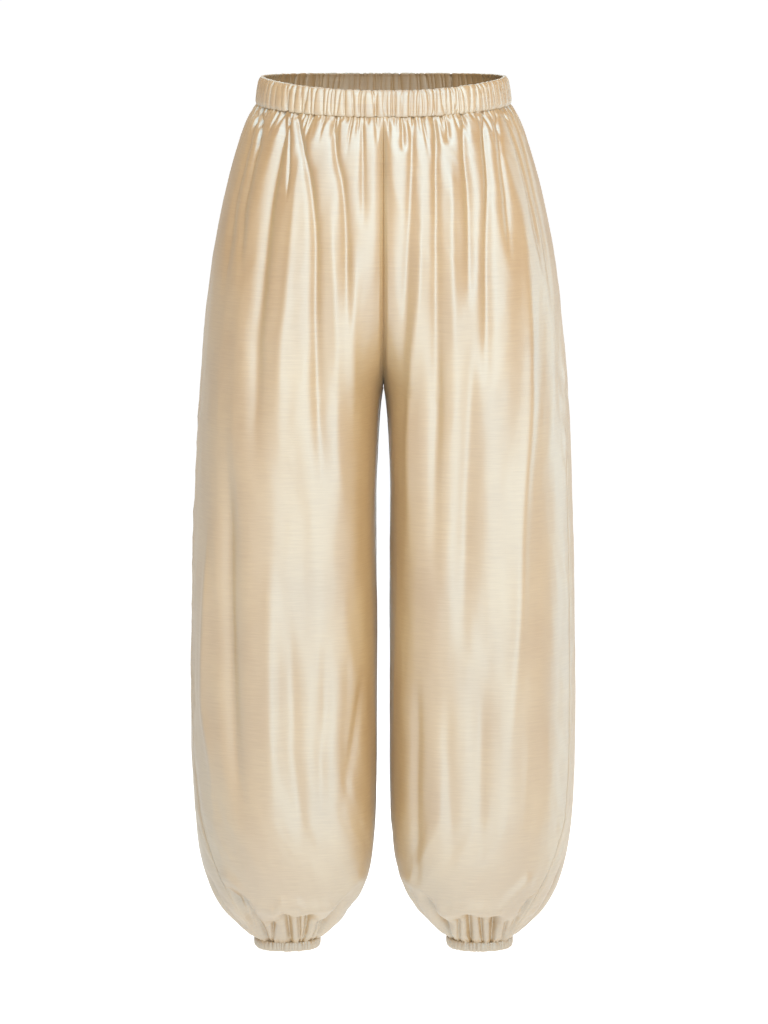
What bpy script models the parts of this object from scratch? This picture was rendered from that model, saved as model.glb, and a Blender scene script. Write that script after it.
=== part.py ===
"""Silk balloon trousers in the shape they have when worn, hollow, with nobody in them.

Four cloth panels hang from a gathered waistband and end in two gathered cuffs. Each panel is a wall
whose points are worked out from one table of level sections and from one table of folds.
+X is the wearer's left, the front faces -Y, +Z is up. The origin is the middle of the waistband's ring,
at half its height.
"""

import math

import bmesh
import bpy
import numpy as np

# Driving dimensions in millimetres
WALL = 2.0
SEAM_GAP = 0.3
BAND_HEIGHT = 30.0
BAND_WALL = 4.0
BAND_RIBS = 72
BAND_RIB_DEPTH = 1.5
CUFF_HEIGHT = 11.0
CUFF_WALL = 3.4
CUFF_RIBS = 26
CUFF_RIB_DEPTH = 1.1
OUTSEAM = 965.5
CROTCH_DROP = 320.0
FRONT_DIP = 10.0
BACK_DIP = 1.5
DIP_ENDS_AT = 260.0
CENTRE_VALLEY = 4.5
CENTRE_VALLEY_REACH = 7.0
CENTRE_VALLEY_FADES_AT = 40.0
ROUNDNESS = 2.25

METRES = 0.001
HALF_GAP = SEAM_GAP / 2
BAND_BOTTOM = BAND_HEIGHT / 2
CUFF_TOP = OUTSEAM - BAND_HEIGHT / 2 - CUFF_HEIGHT

# Level sections of the left half, down from the origin. Outer and inner are the x of its tube's two sides.
# The inner side is past the middle, so below zero, where the two halves are joined above the crotch.
# Columns: drop, outer, inner, front, back
SECTIONS = (
    (15.0, 140.0, -140.0, 102.0, 106.0),
    (30.0, 148.0, -138.0, 108.0, 114.0),
    (52.0, 156.2, -133.0, 114.0, 123.0),
    (95.0, 168.9, -120.0, 121.0, 134.0),
    (139.0, 179.0, -103.0, 125.0, 141.0),
    (182.0, 186.9, -83.0, 127.0, 145.0),
    (226.0, 192.6, -59.0, 128.0, 146.0),
    (270.0, 197.3, -29.0, 127.0, 143.0),
    (295.0, 199.0, -11.5, 126.5, 140.0),
    (310.0, 200.0, -3.6, 126.0, 138.0),
    (CROTCH_DROP, 200.8, 0.0, 126.0, 137.0),
    (336.0, 202.0, 2.2, 125.0, 135.0),
    (380.0, 204.6, 5.5, 124.0, 132.0),
    (447.0, 207.3, 7.8, 122.0, 129.0),
    (559.0, 210.8, 7.2, 120.0, 126.0),
    (694.0, 212.4, 7.2, 119.0, 124.0),
    (785.0, 209.8, 8.3, 117.0, 121.0),
    (830.0, 205.5, 11.1, 113.0, 116.0),
    (853.0, 201.2, 14.5, 108.0, 110.0),
    (876.0, 194.1, 21.2, 100.0, 101.0),
    (892.0, 186.5, 28.4, 90.0, 90.0),
    (904.0, 179.2, 35.8, 75.0, 78.0),
    (914.0, 172.0, 43.0, 58.0, 66.0),
    (927.0, 160.4, 54.8, 45.0, 49.0),
    (934.0, 152.8, 62.0, 40.0, 42.0),
    (CUFF_TOP, 146.8, 68.2, 36.0, 36.0),
)

# The waistband's ring and the cuffs' ring, from the casing's top, 0, to its bottom, 1
# Columns: share, half width, front, back
BAND_RING = (
    (0.0, 132.8, 95.5, 98.5),
    (0.18, 135.2, 97.7, 100.7),
    (0.55, 137.2, 99.4, 102.6),
    (0.86, 138.2, 100.3, 103.6),
    (1.0, 137.6, 99.8, 103.2),
)
CUFF_MIDDLE = 107.4
CUFF_RING = (
    (0.0, 36.6, 32.2, 32.2),
    (0.3, 37.2, 32.7, 32.7),
    (0.75, 36.8, 32.4, 32.4),
    (1.0, 35.4, 31.2, 31.2),
)

# Folds of each panel below the waistband. Place runs from the centre seam, 0, round to the side seam, 1.
# Drift is how far the place moves over the fold's length. Depth and length are in millimetres.
# Columns: place, drift, length, depth
LEFT_FRONT_FOLDS = (
    (0.062, 0.006, 90.0, 2.2),
    (0.118, -0.004, 430.0, 4.2),
    (0.169, 0.002, 70.0, 2.2),
    (0.221, -0.012, 680.0, 5.2),
    (0.281, -0.020, 110.0, 2.8),
    (0.346, -0.044, 560.0, 4.8),
    (0.410, -0.040, 90.0, 2.4),
    (0.477, -0.030, 140.0, 3.4),
    (0.569, -0.020, 160.0, 3.0),
    (0.667, 0.020, 780.0, 4.6),
    (0.800, 0.010, 150.0, 3.0),
    (0.915, 0.000, 340.0, 3.4),
)
RIGHT_FRONT_FOLDS = (
    (0.062, -0.004, 120.0, 3.0),
    (0.114, -0.006, 470.0, 4.4),
    (0.155, 0.004, 90.0, 2.2),
    (0.205, -0.010, 390.0, 4.0),
    (0.267, -0.024, 620.0, 5.2),
    (0.324, -0.020, 110.0, 2.6),
    (0.392, -0.016, 90.0, 2.4),
    (0.461, -0.010, 550.0, 5.0),
    (0.568, 0.010, 430.0, 3.4),
    (0.689, 0.030, 730.0, 4.4),
    (0.805, 0.012, 210.0, 3.0),
    (0.910, 0.000, 240.0, 3.2),
)
LEFT_BACK_FOLDS = (
    (0.058, 0.010, 390.0, 4.2),
    (0.126, 0.004, 110.0, 2.6),
    (0.182, -0.010, 550.0, 5.0),
    (0.248, -0.006, 90.0, 2.6),
    (0.312, -0.024, 340.0, 3.8),
    (0.387, -0.020, 680.0, 5.2),
    (0.452, -0.016, 100.0, 2.6),
    (0.534, -0.006, 440.0, 4.2),
    (0.612, 0.004, 120.0, 2.8),
    (0.706, 0.014, 610.0, 4.6),
    (0.812, 0.010, 170.0, 3.0),
    (0.918, 0.000, 320.0, 3.2),
)
RIGHT_BACK_FOLDS = (
    (0.066, 0.008, 110.0, 2.6),
    (0.121, 0.000, 490.0, 4.8),
    (0.189, -0.008, 130.0, 2.8),
    (0.243, -0.014, 600.0, 4.8),
    (0.321, -0.018, 100.0, 2.6),
    (0.379, -0.020, 400.0, 4.4),
    (0.463, -0.014, 650.0, 5.0),
    (0.528, -0.010, 110.0, 2.6),
    (0.621, 0.006, 360.0, 3.8),
    (0.715, 0.016, 700.0, 4.6),
    (0.822, 0.008, 150.0, 3.0),
    (0.913, 0.000, 240.0, 3.4),
)

# Gathers of each panel above its cuff, from the inseam, 0, round to the side seam, 1
# Columns: place, height, depth
LEFT_FRONT_GATHERS = (
    (0.07, 34.0, 2.7),
    (0.23, 52.0, 4.5),
    (0.38, 40.0, 5.1),
    (0.54, 46.0, 4.8),
    (0.72, 60.0, 4.2),
    (0.88, 44.0, 3.3),
)
RIGHT_FRONT_GATHERS = (
    (0.09, 40.0, 3.0),
    (0.26, 48.0, 4.2),
    (0.42, 38.0, 5.1),
    (0.57, 44.0, 4.5),
    (0.73, 66.0, 5.4),
    (0.90, 40.0, 3.0),
)
LEFT_BACK_GATHERS = (
    (0.08, 42.0, 3.0),
    (0.25, 58.0, 4.5),
    (0.41, 44.0, 4.8),
    (0.58, 62.0, 5.1),
    (0.75, 46.0, 4.2),
    (0.91, 38.0, 3.0),
)
RIGHT_BACK_GATHERS = (
    (0.10, 38.0, 3.0),
    (0.24, 50.0, 4.8),
    (0.43, 60.0, 5.1),
    (0.60, 44.0, 4.5),
    (0.74, 56.0, 4.5),
    (0.89, 42.0, 3.0),
)

# How far round its tube a panel would reach if the crotch didn't pull at it, in degrees from the side seam
# Columns: drop, turn
SPREAD = (
    (15.0, 90.0),
    (139.0, 103.0),
    (226.0, 116.0),
    (295.0, 132.0),
    (380.0, 156.0),
    (470.0, 174.0),
    (560.0, 180.0),
)
PULL_POWER = 5

# How far forward of the tube's side the side seam lies. The back panel is the wider one at the pouch.
# Columns: drop, turn in degrees
LEFT_SIDE_SEAM = (
    (15.0, 0.0),
    (160.0, 0.0),
    (300.0, 12.0),
    (430.0, 22.0),
    (700.0, 25.0),
    (780.0, 26.0),
    (830.0, 36.0),
    (870.0, 47.0),
    (905.0, 52.0),
    (CUFF_TOP, 44.0),
)
RIGHT_SIDE_SEAM = (
    (15.0, 0.0),
    (300.0, 3.0),
    (500.0, 8.0),
    (700.0, 14.0),
    (781.0, 23.0),
    (840.0, 38.0),
    (878.0, 47.0),
    (905.0, 50.0),
    (CUFF_TOP, 43.0),
)

# Rows of a panel's net. The first ones have two columns for each half fold, the others have one.
FINE_DROPS = (15.0, 22.0, 34.0, 52.0, 80.0, 115.0, 160.0)
COARSE_DROPS = (
    (205.0, 245.0, 278.0, 300.0, 313.0, CROTCH_DROP)
    + (338.0, 395.0, 490.0, 600.0, 700.0, 775.0, 822.0, 855.0, 880.0, 897.0, 909.0, 919.0, 930.0)
)

# A fold is a narrow valley between round puffs: at this share of the way it has this share of the rise.
PUFF_WAY = 0.42
PUFF_RISE = 0.78
RIDGE_SHARE = 0.45
FADE_POWER = 1.1
START_SHARE = 0.4
START_LENGTH = 22.0
GATHERS_FROM, GATHERS_TO = 450.0, 830.0
SEAM_CALM = 14.0

SILK = (0.80, 0.66, 0.46)
SILK_SHADE = (0.76, 0.62, 0.43)


def eased(share):
    """0 to 1 with a level start and end."""
    share = np.clip(share, 0.0, 1.0)
    return share * share * (3 - 2 * share)


def curve_through(table, column, at):
    """The smooth curve through one column of a table over its first column, with no bump between rows."""
    rows = np.array(table, float)
    knots, values = rows[:, 0], rows[:, column]
    step = np.diff(knots)
    secant = np.diff(values) / step
    before, after = secant[:-1], secant[1:]
    steady = before * after > 0
    total = np.where(steady, before + after, 1.0)
    slope = np.concatenate(
        [secant[:1], np.where(steady, 2 * before * after / total, 0.0), secant[-1:]]
    )
    at = np.clip(at, knots[0], knots[-1])
    i = np.clip(np.searchsorted(knots, at, side="right") - 1, 0, len(knots) - 2)
    t = (at - knots[i]) / step[i]
    start, end = values[i], values[i + 1]
    start_slope, end_slope = slope[i] * step[i], slope[i + 1] * step[i]
    bend = 2 * (start - end) + start_slope + end_slope
    rest = 3 * (end - start) - 2 * start_slope - end_slope
    return ((bend * t + rest) * t + start_slope) * t + start


def section(drop):
    """The tube's outer, inner, front and back at this drop."""
    return [curve_through(SECTIONS, i, drop) for i in range(1, len(SECTIONS[0]))]


def wall_lean(drop):
    """How far the wall leans from upright, as an angle, above zero where it widens downwards."""
    step = 1.0
    above, below = section(drop - step), section(drop + step)
    width = (below[0] - below[1]) - (above[0] - above[1])
    depth = (below[2] + below[3]) - (above[2] + above[3])
    return math.atan2((width + depth) / 4, 2 * step)


def rounded(angle):
    """Cosine and sine of a rounded oval, squarer than an ellipse."""
    power = 2 / ROUNDNESS
    cosine, sine = np.cos(angle), np.sin(angle)
    return np.sign(cosine) * np.abs(cosine) ** power, np.sign(sine) * np.abs(sine) ** power


def seam_angle(middle, half_width):
    """The angle at which the tube meets the middle plane, or half a turn where it doesn't reach it."""
    share = np.clip(middle / half_width, 0.0, 1.0)
    return math.pi - math.acos(share ** (ROUNDNESS / 2))


def waist_dip(place, is_front):
    """How much lower the waist seam lies here than at the sides."""
    return (FRONT_DIP if is_front else BACK_DIP) * np.cos(place * math.pi / 2) ** 2


def fold_knots(rows):
    """The columns' places: seam, valley, ridge, valley and so on to the other seam."""
    valleys = np.array([row[0] for row in rows])
    ridges = (valleys[:-1] + valleys[1:]) / 2
    places = np.zeros(2 * len(valleys) + 1)
    places[1::2] = valleys
    places[2:-1:2] = ridges
    places[-1] = 1.0
    return places


def knot_heights(depth):
    """How far each column stands out: valleys go in by their depth, and the ridges between stand out less."""
    heights = np.zeros(2 * len(depth) + 1)
    heights[1::2] = -depth
    heights[2:-1:2] = RIDGE_SHARE * (depth[:-1] + depth[1:]) / 2
    return heights


def fold_net(folds, gathers, drop):
    """Each column's place and how far it stands out of the smooth wall at this drop."""
    table = np.array(folds, float)
    share = np.clip((drop - BAND_BOTTOM) / table[:, 2], 0.0, 1.0)
    moved = table.copy()
    moved[:, 0] += table[:, 1] * eased(share)
    places = fold_knots(moved)
    starting = START_SHARE + (1 - START_SHARE) * eased((drop - BAND_BOTTOM) / START_LENGTH)
    depth = table[:, 3] * (1 - share) ** FADE_POWER * starting
    heights = knot_heights(depth)

    low = np.array(gathers, float)
    low_depth = low[:, 2] * eased(1 - (CUFF_TOP - drop) / low[:, 1])
    low_places, low_heights = with_puffs(fold_knots(low), knot_heights(low_depth))

    turn = eased((drop - GATHERS_FROM) / (GATHERS_TO - GATHERS_FROM))
    return places * (1 - turn) + low_places * turn, heights + low_heights


def with_puffs(places, heights):
    """The same net with a column between each two, nearer the valley, so that the ridges are round."""
    fine_places = np.zeros(2 * len(places) - 1)
    fine_heights = np.zeros(2 * len(places) - 1)
    fine_places[::2], fine_heights[::2] = places, heights
    first_lower = heights[:-1] <= heights[1:]
    way = np.where(first_lower, PUFF_WAY, 1 - PUFF_WAY)
    rise = np.where(first_lower, PUFF_RISE, 1 - PUFF_RISE)
    fine_places[1::2] = places[:-1] + way * np.diff(places)
    fine_heights[1::2] = heights[:-1] + rise * np.diff(heights)
    return fine_places, fine_heights


def wall_row(side, is_front, drop, places, heights, inset, side_seam):
    """One row of a panel's points. Inset is 0 on its outer face and the wall's thickness on its inner one."""
    outer, inner, front, back = section(drop)
    lean = wall_lean(drop)
    across = inset * math.cos(lean)
    middle = (outer + inner) / 2
    half_width = (outer - inner) / 2 - across
    spread = math.radians(curve_through(SPREAD, 1, drop))
    side_turn = math.radians(curve_through(side_seam, 1, drop)) * (1 if is_front else -1)
    pull = seam_angle(middle, half_width) - spread
    angles = side_turn + (spread - side_turn) * (1 - places) + pull * (1 - places) ** PULL_POWER
    cosine, sine = rounded(angles)
    own, other = (front, back) if is_front else (back, front)
    half_depth = np.where(sine < 0, other, own) - across
    normal = np.stack([cosine / half_width, sine / half_depth])
    normal /= np.linalg.norm(normal, axis=0)
    x = middle + half_width * cosine
    y = half_depth * sine
    seam_depth = CENTRE_VALLEY if is_front else CENTRE_VALLEY / 2
    fading = 1 - eased((drop - CENTRE_VALLEY_FADES_AT) / (CROTCH_DROP - CENTRE_VALLEY_FADES_AT))
    centre = -seam_depth * fading * np.exp(-((x / CENTRE_VALLEY_REACH) ** 2))
    calm = eased(x / SEAM_CALM)
    x = x + heights * normal[0] * calm
    y = y + heights * normal[1] + centre
    x = np.maximum(x, HALF_GAP)
    y = np.where(places < 0.5, np.maximum(y, HALF_GAP), y)
    if middle < half_width:
        x[0] = HALF_GAP
    else:
        y[0] = HALF_GAP
    x[-1] -= normal[1, -1] * HALF_GAP
    y[-1] += normal[0, -1] * HALF_GAP
    dip = waist_dip(places, is_front) * (1 - eased((drop - BAND_BOTTOM) / (DIP_ENDS_AT - BAND_BOTTOM)))
    down = drop + dip + inset * math.sin(lean)
    return np.stack([side * x, y * (-1 if is_front else 1), -down], axis=1)


def panel_rows(side, is_front, folds, gathers, inset, side_seam):
    """All rows of one face of a panel, from the waist seam to the cuff seam."""
    rows = []
    top, bottom = BAND_BOTTOM + SEAM_GAP, CUFF_TOP - SEAM_GAP
    for drop in FINE_DROPS + COARSE_DROPS + (CUFF_TOP,):
        places, heights = fold_net(folds, gathers, drop)
        if drop in FINE_DROPS:
            places, heights = with_puffs(places, heights)
        row_drop = min(max(drop, top), bottom)
        rows.append(wall_row(side, is_front, row_drop, places, heights, inset, side_seam))
    return rows


def strip(first, second):
    """Faces between two rows of point numbers. The first row may have twice the columns of the second."""
    if len(first) == len(second):
        return [
            (first[i], first[i + 1], second[i + 1], second[i]) for i in range(len(first) - 1)
        ]
    faces = []
    for i in range(len(second) - 1):
        left, middle, right = first[2 * i], first[2 * i + 1], first[2 * i + 2]
        faces += [(left, middle, second[i]), (middle, second[i + 1], second[i])]
        faces.append((middle, right, second[i + 1]))
    return faces


def solid_object(name, points, faces, colour):
    """A closed body from points in millimetres, with its faces turned outwards."""
    mesh = bpy.data.meshes.new(name)
    mesh.from_pydata((np.array(points) * METRES).tolist(), [], faces)
    body = bmesh.new()
    body.from_mesh(mesh)
    bmesh.ops.recalc_face_normals(body, faces=body.faces)
    bmesh.ops.triangulate(body, faces=body.faces)
    body.to_mesh(mesh)
    body.free()
    mesh.shade_smooth()
    mesh.set_sharp_from_angle(angle=math.radians(50))
    made = bpy.data.objects.new(name, mesh)
    bpy.context.scene.collection.objects.link(made)
    material = bpy.data.materials.new(name + "_silk")
    material.use_nodes = True
    shader = material.node_tree.nodes["Principled BSDF"]
    shader.inputs["Base Color"].default_value = (*colour, 1.0)
    shader.inputs["Roughness"].default_value = 0.38
    shader.inputs["Metallic"].default_value = 0.0
    mesh.materials.append(material)
    return made


def make_panel(name, side, is_front, folds, gathers):
    """One leg's front or back, with half of the body above it."""
    side_seam = LEFT_SIDE_SEAM if side > 0 else RIGHT_SIDE_SEAM
    outer = panel_rows(side, is_front, folds, gathers, 0.0, side_seam)
    inner = panel_rows(side, is_front, folds, gathers, WALL, side_seam)
    points = np.concatenate(outer + inner)
    counts = [len(row) for row in outer]
    starts = np.concatenate([[0], np.cumsum(counts + counts)])
    numbers = [list(range(starts[i], starts[i + 1])) for i in range(2 * len(counts))]
    outside, inside = numbers[: len(counts)], numbers[len(counts) :]
    faces = []
    for i in range(len(counts) - 1):
        faces += strip(outside[i], outside[i + 1])
        faces += strip(inside[i], inside[i + 1])
    edges = (
        (outside[0], inside[0]),
        (outside[-1], inside[-1]),
        ([row[0] for row in outside], [row[0] for row in inside]),
        ([row[-1] for row in outside], [row[-1] for row in inside]),
    )
    for first, second in edges:
        faces += strip(first, second)
    return solid_object(name, points, faces, SILK)


def ring_row(table, share, angle, inset, rib):
    """Points round a casing at one height. The side towards -Y is its front."""
    half_width = curve_through(table, 1, share) - inset + rib
    front = curve_through(table, 2, share) - inset + rib
    back = curve_through(table, 3, share) - inset + rib
    power = 2 / ROUNDNESS
    cosine, sine = np.cos(angle), np.sin(angle)
    x = half_width * np.sign(cosine) * np.abs(cosine) ** power
    depth = np.where(sine < 0, front, back)
    return x, depth * np.sign(sine) * np.abs(sine) ** power


def make_casing(name, middle, table, top, height, wall, ribs, rib_depth, dipped, colour):
    """A ribbed ring with round upper and lower edges: up its outer face and down its inner one."""
    count = 2 * ribs
    angle = np.arange(count) * 2 * math.pi / count
    ridge = np.where(np.arange(count) % 2 == 0, 1.0, -1.0)
    uneven = 1 + 0.35 * np.sin(5 * angle + 1.0) * np.sin(11 * angle)
    ribs_out = ridge * rib_depth / 2 * uneven
    # Columns: share of the height, share of the wall that the point lies inside, share of the ribs
    profile = (
        (1.0, 0.25, 0.3),
        (0.84, 0.0, 0.7),
        (0.45, 0.0, 1.0),
        (0.07, 0.0, 0.9),
        (0.0, 0.5, 0.0),
        (0.08, 1.0, -0.8),
        (1.0, 1.0, -0.6),
    )
    front_share = np.clip(-np.sin(angle), 0, 1) ** 2
    back_share = np.clip(np.sin(angle), 0, 1) ** 2
    dip = (FRONT_DIP * front_share + BACK_DIP * back_share) * dipped
    rows = []
    for share, inside, rib in profile:
        x, y = ring_row(table, share, angle, inside * wall, ribs_out * rib)
        down = top + share * height + dip
        rows.append(np.stack([x + middle, y, -down], axis=1))
    faces = []
    for i in range(len(profile)):
        here = [i * count + k for k in range(count)]
        after = [(i + 1) % len(profile) * count + k for k in range(count)]
        faces += strip(here + here[:1], after + after[:1])
    return solid_object(name, np.concatenate(rows), faces, colour)


def build():
    """All seven sewn pieces."""
    for thing in list(bpy.data.objects):
        bpy.data.objects.remove(thing)
    make_casing(
        "waistband", 0.0, BAND_RING, -BAND_HEIGHT / 2, BAND_HEIGHT, BAND_WALL,
        BAND_RIBS, BAND_RIB_DEPTH, 1.0, SILK_SHADE,
    )
    make_panel("left_front", 1, True, LEFT_FRONT_FOLDS, LEFT_FRONT_GATHERS)
    make_panel("right_front", -1, True, RIGHT_FRONT_FOLDS, RIGHT_FRONT_GATHERS)
    make_panel("left_back", 1, False, LEFT_BACK_FOLDS, LEFT_BACK_GATHERS)
    make_panel("right_back", -1, False, RIGHT_BACK_FOLDS, RIGHT_BACK_GATHERS)
    for name, middle in (("left_cuff", CUFF_MIDDLE), ("right_cuff", -CUFF_MIDDLE)):
        make_casing(
            name, middle, CUFF_RING, CUFF_TOP, CUFF_HEIGHT, CUFF_WALL,
            CUFF_RIBS, CUFF_RIB_DEPTH, 0.0, SILK_SHADE,
        )


build()
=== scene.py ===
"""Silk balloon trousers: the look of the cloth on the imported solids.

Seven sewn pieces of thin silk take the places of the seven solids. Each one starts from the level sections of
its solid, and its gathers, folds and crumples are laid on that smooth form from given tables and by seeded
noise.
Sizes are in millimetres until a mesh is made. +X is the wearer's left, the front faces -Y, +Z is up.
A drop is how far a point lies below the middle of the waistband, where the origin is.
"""

import logging
import math
from dataclasses import dataclass
from enum import Enum

import bpy
import numpy as np
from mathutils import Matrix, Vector


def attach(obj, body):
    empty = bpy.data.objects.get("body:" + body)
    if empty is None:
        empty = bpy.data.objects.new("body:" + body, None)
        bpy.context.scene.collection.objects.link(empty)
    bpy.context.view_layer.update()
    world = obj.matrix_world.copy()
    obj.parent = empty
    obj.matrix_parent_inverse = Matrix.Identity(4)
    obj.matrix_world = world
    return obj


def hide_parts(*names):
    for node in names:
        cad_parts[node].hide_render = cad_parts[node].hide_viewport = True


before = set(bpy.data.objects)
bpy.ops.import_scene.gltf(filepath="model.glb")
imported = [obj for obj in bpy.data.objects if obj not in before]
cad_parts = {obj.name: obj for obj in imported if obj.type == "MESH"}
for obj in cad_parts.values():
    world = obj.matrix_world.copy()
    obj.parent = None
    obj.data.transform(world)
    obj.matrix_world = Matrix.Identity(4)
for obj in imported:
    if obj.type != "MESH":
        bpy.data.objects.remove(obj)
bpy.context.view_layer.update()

LOG = logging.getLogger("trousers")
METRES = 0.001
Array = np.ndarray
Pair = tuple[float, float]
BODY = "root"
# Drops of the seams that join the panels to the waistband and to the cuffs, at the sides.
WAIST_SEAM = 13.0
CUFF_SEAM = 939.5
# Between these drops the centre seam swings inwards to the crotch and on down the inner leg.
SWING = (200.0, 430.0)


class Side(Enum):
    """The wearer's side that a piece is on, as the sign of its x."""

    LEFT = 1
    RIGHT = -1


class Face(Enum):
    """The side of the body that a panel covers."""

    FRONT = "front"
    BACK = "back"


class Hold(Enum):
    """Where a crease is sewn down, so where it doesn't fade."""

    WAIST = "waist"
    CUFF = "cuff"
    FREE = "free"


class Across(Enum):
    """How a crease's place across the panel is given."""

    MIDDLE = "millimetres from the middle plane"
    SHARE = "share of the panel's width, from the centre seam or inseam"


def eased(share: Array | float) -> Array | float:
    """Turns 0 to 1 into 0 to 1 with a level start and end."""
    share = np.clip(share, 0.0, 1.0)
    return share * share * (3 - 2 * share)


def ramp(at: Array, start: float, length: float) -> Array:
    """Rises from 0 at a start to 1 a length further on, with both ends level."""
    return eased((at - start) / length)


def bell(distance: Array, height: Array | float, half_width: Array | float) -> Array:
    """A bell: its height times e to the power of minus the square of distance over half width."""
    return height * np.exp(-((distance / half_width) ** 2))


def curve_through(table: tuple, column: int, at: Array | float) -> Array:
    """Smooth curve through one column of a table over its first column, with no bump between rows.

    Each stretch is a cubic whose end slopes are the harmonic mean of the slopes beside each row.

    Args:
        table: rows of numbers, rising in the first column.
        column: the column that the curve follows.
        at: where the curve is read.

    Returns:
        The curve's values at those places.
    """
    rows = np.array(table, float)
    knots, values = rows[:, 0], rows[:, column]
    step = np.diff(knots)
    secant = np.diff(values) / step
    before, after = secant[:-1], secant[1:]
    steady = before * after > 0
    total = np.where(steady, before + after, 1.0)
    inner = np.where(steady, 2 * before * after / total, 0.0)
    slope = np.concatenate([secant[:1], inner, secant[-1:]])
    at = np.clip(at, knots[0], knots[-1])
    i = np.clip(np.searchsorted(knots, at, side="right") - 1, 0, len(knots) - 2)
    t = (at - knots[i]) / step[i]
    start_slope, end_slope = slope[i] * step[i], slope[i + 1] * step[i]
    bend = 2 * (values[i] - values[i + 1]) + start_slope + end_slope
    rest = 3 * (values[i + 1] - values[i]) - 2 * start_slope - end_slope
    return ((bend * t + rest) * t + start_slope) * t + values[i]


def soft_noise(seed: int, across: Array, down: Array) -> Array:
    """Smooth random relief from -1 to 1, one random value to each unit cell, eased from cell to cell.

    Args:
        seed: the seed of the random values.
        across: place across, in cells.
        down: place down, in cells.

    Returns:
        The relief at each place.
    """
    across = across - across.min()
    down = down - down.min()
    values = np.random.default_rng(seed).uniform(-1, 1, (int(down.max()) + 3, int(across.max()) + 3))
    row, column = down.astype(int), across.astype(int)
    row_share, column_share = eased(down - row), eased(across - column)
    upper = values[row, column] * (1 - column_share) + values[row, column + 1] * column_share
    lower = values[row + 1, column] * (1 - column_share) + values[row + 1, column + 1] * column_share
    return upper * (1 - row_share) + lower * row_share


def rounded(angle: Array, squareness: float) -> tuple[Array, Array]:
    """Cosine and sine of a rounded oval, each raised to two over its squareness and keeping its sign."""
    power = 2 / squareness
    cosine, sine = np.cos(angle), np.sin(angle)
    return np.sign(cosine) * np.abs(cosine) ** power, np.sign(sine) * np.abs(sine) ** power


def lengths_along(points: Array) -> Array:
    """Length along each row of points, from 0 at the row's first point."""
    steps = np.linalg.norm(np.diff(points, axis=1), axis=2)
    return np.concatenate([np.zeros((len(points), 1)), np.cumsum(steps, axis=1)], axis=1)


def steady_width(drop: Array, width: Array) -> Array:
    """A panel's width at each row, as if it changed evenly past the crotch, where the seam swings inwards."""
    apart = (drop < SWING[0]) | (drop > SWING[1])
    return np.interp(drop, drop[apart], width[apart])


def grid_mesh(
    name: str, points: Array, uv: Array, around: bool, along: bool, inside_out: bool
) -> bpy.types.Object:
    """A quad mesh on a grid of points, with a UV map in metres, at the origin.

    Args:
        name: the object's name.
        points: rows, columns and x, y, z in millimetres.
        uv: rows, columns and u, v in metres, with one more column or row where the grid closes.
        around: whether the last column joins the first.
        along: whether the last row joins the first.
        inside_out: whether the faces turn the other way.

    Returns:
        The object, linked to the scene.
    """
    rows, columns = points.shape[:2]
    row = np.arange(rows if along else rows - 1)[:, None]
    column = np.arange(columns if around else columns - 1)[None, :]
    corners = [(row, column), (row + 1, column), (row + 1, column + 1), (row, column + 1)]
    if inside_out:
        corners.reverse()
    faces = np.stack([r % rows * columns + c % columns for r, c in corners], axis=-1).reshape(-1, 4)
    loops = np.stack([uv[r, c] for r, c in corners], axis=2).reshape(-1, 2)
    mesh = bpy.data.meshes.new(name)
    mesh.from_pydata((points.reshape(-1, 3) * METRES).tolist(), [], faces.tolist())
    layer = mesh.uv_layers.new(name="cloth")
    layer.data.foreach_set("uv", loops.astype(np.float32).ravel())
    mesh.shade_smooth()
    made = bpy.data.objects.new(name, mesh)
    bpy.context.scene.collection.objects.link(made)
    return made


def linear(colour: str) -> tuple[float, float, float, float]:
    """An sRGB hex colour as linear red, green, blue and 1."""
    parts = np.array([int(colour[i : i + 2], 16) for i in (1, 3, 5)]) / 255
    low, high = parts / 12.92, ((parts + 0.055) / 1.055) ** 2.4
    return (*np.where(parts <= 0.04045, low, high).tolist(), 1.0)


def add(tree: bpy.types.NodeTree, kind: str, inputs: dict, **settings: object) -> bpy.types.Node:
    """Adds a node with its settings, its values and its links.

    Args:
        tree: the material's node tree.
        kind: the node's type.
        inputs: a value or an output socket for each named or numbered input.
        settings: the node's own settings.

    Returns:
        The new node.
    """
    node = tree.nodes.new(kind)
    for name, value in settings.items():
        setattr(node, name, value)
    for name, value in inputs.items():
        if isinstance(value, bpy.types.NodeSocket):
            tree.links.new(value, node.inputs[name])
        else:
            node.inputs[name].default_value = value
    return node


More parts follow.
